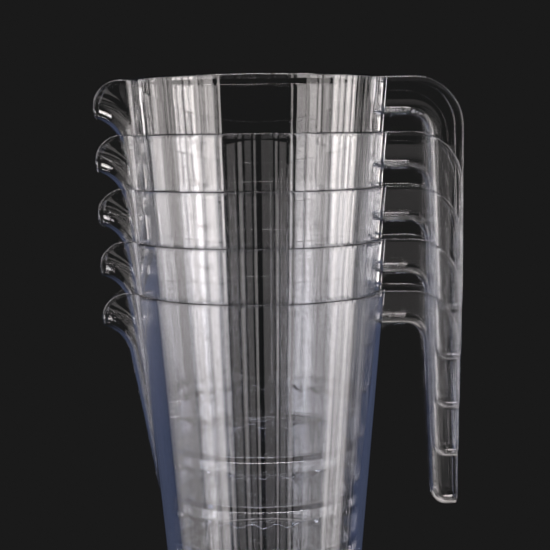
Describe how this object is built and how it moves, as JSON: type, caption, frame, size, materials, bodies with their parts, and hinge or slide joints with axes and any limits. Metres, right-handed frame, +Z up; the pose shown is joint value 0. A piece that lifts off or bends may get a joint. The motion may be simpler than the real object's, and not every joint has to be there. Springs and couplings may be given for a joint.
{
  "type": "stack of nesting beer pitchers",
  "caption": "Stack of clear plastic beer pitchers nested in one another, each a tapered vessel with a scooped spout, a wavy stacking ledge in its foot and a hooked channel handle.",
  "frame": {"origin": "on the vessels' axis, in the plane that the lowest foot stands on", "axes": "+Z up along the vessels' axis, +X towards the handles, -X towards the spouts"},
  "size_m": [0.1949, 0.135, 0.3096],
  "materials": {
    "clear_plastic": "clear, polished, with a faint blue tint at the edges"
  },
  "bodies": {
    "pitcher_1": {"vessel_1": "clear_plastic", "handle_1": "clear_plastic"},
    "pitcher_2": {"vessel_2": "clear_plastic", "handle_2": "clear_plastic"},
    "pitcher_3": {"vessel_3": "clear_plastic", "handle_3": "clear_plastic"},
    "pitcher_4": {"vessel_4": "clear_plastic", "handle_4": "clear_plastic"},
    "pitcher_5": {"vessel_5": "clear_plastic", "handle_5": "clear_plastic"}
  },
  "joints": [
    {"name": "lift_2", "type": "slide", "parent": "pitcher_1", "child": "pitcher_2", "axis": [0, 0, 1], "range_m": [0, 0.2]},
    {"name": "lift_3", "type": "slide", "parent": "pitcher_2", "child": "pitcher_3", "axis": [0, 0, 1], "range_m": [0, 0.2]},
    {"name": "lift_4", "type": "slide", "parent": "pitcher_3", "child": "pitcher_4", "axis": [0, 0, 1], "range_m": [0, 0.2]},
    {"name": "lift_5", "type": "slide", "parent": "pitcher_4", "child": "pitcher_5", "axis": [0, 0, 1], "range_m": [0, 0.2]}
  ]
}
